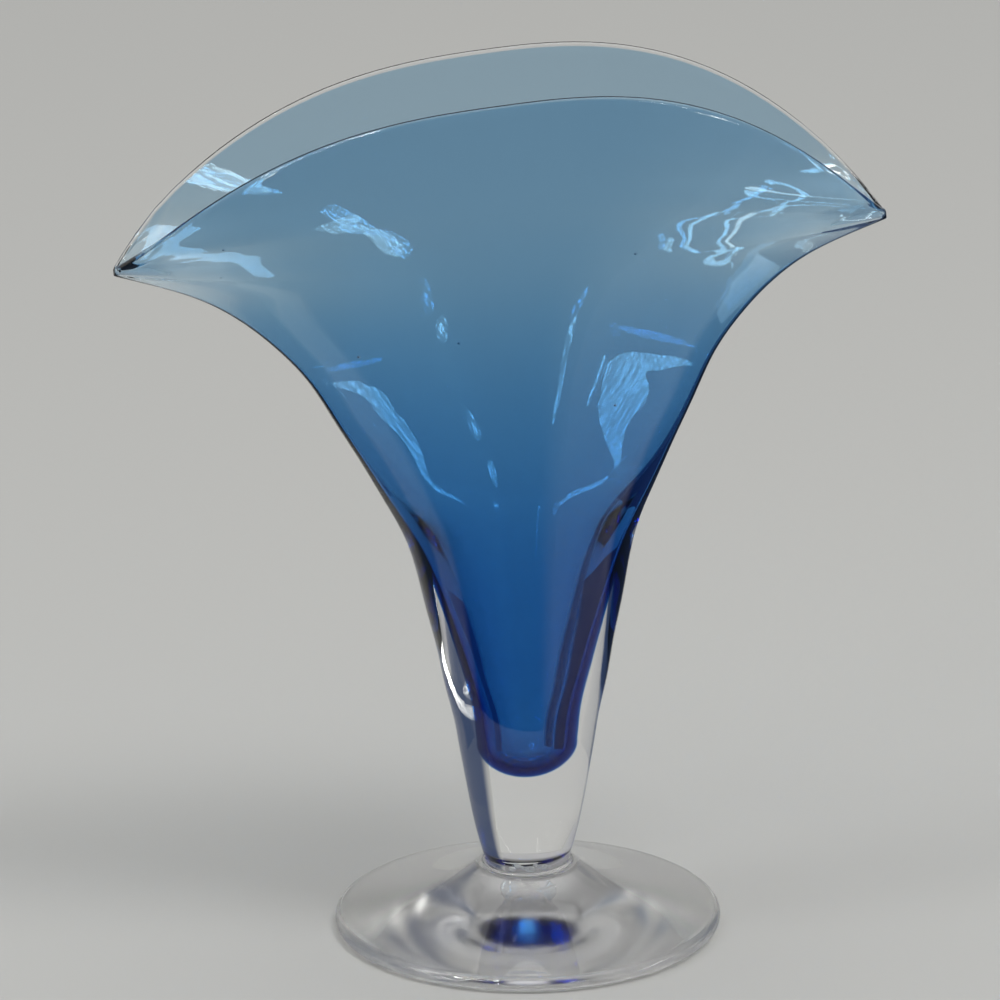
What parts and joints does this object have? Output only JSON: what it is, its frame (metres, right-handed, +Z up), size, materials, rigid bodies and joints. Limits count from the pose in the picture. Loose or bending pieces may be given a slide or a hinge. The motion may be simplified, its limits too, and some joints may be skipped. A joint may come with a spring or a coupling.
{
  "type": "fan vase",
  "caption": "Hand-blown fan vase: a blue-lined clear glass fan with an arched, pointed mouth, on a solid clear stem and a round clear foot.",
  "frame": {"origin": "centre of the foot's flat underside", "axes": "+Z up, X along the fan from tip to tip, -Y to the front"},
  "size_m": [0.258, 0.132, 0.3013],
  "materials": {
    "clear_foot_glass": "clear, fire-polished",
    "clear_wafer_glass": "clear, with small bubbles",
    "clear_casing_glass": "clear, fire-polished, gently wavy",
    "blue_lining_glass": "transparent blue"
  },
  "bodies": {
    "root": {"foot": "clear_foot_glass", "stem_wafer": "clear_wafer_glass", "clear_casing": "clear_casing_glass", "blue_lining": "blue_lining_glass"}
  },
  "joints": []
}
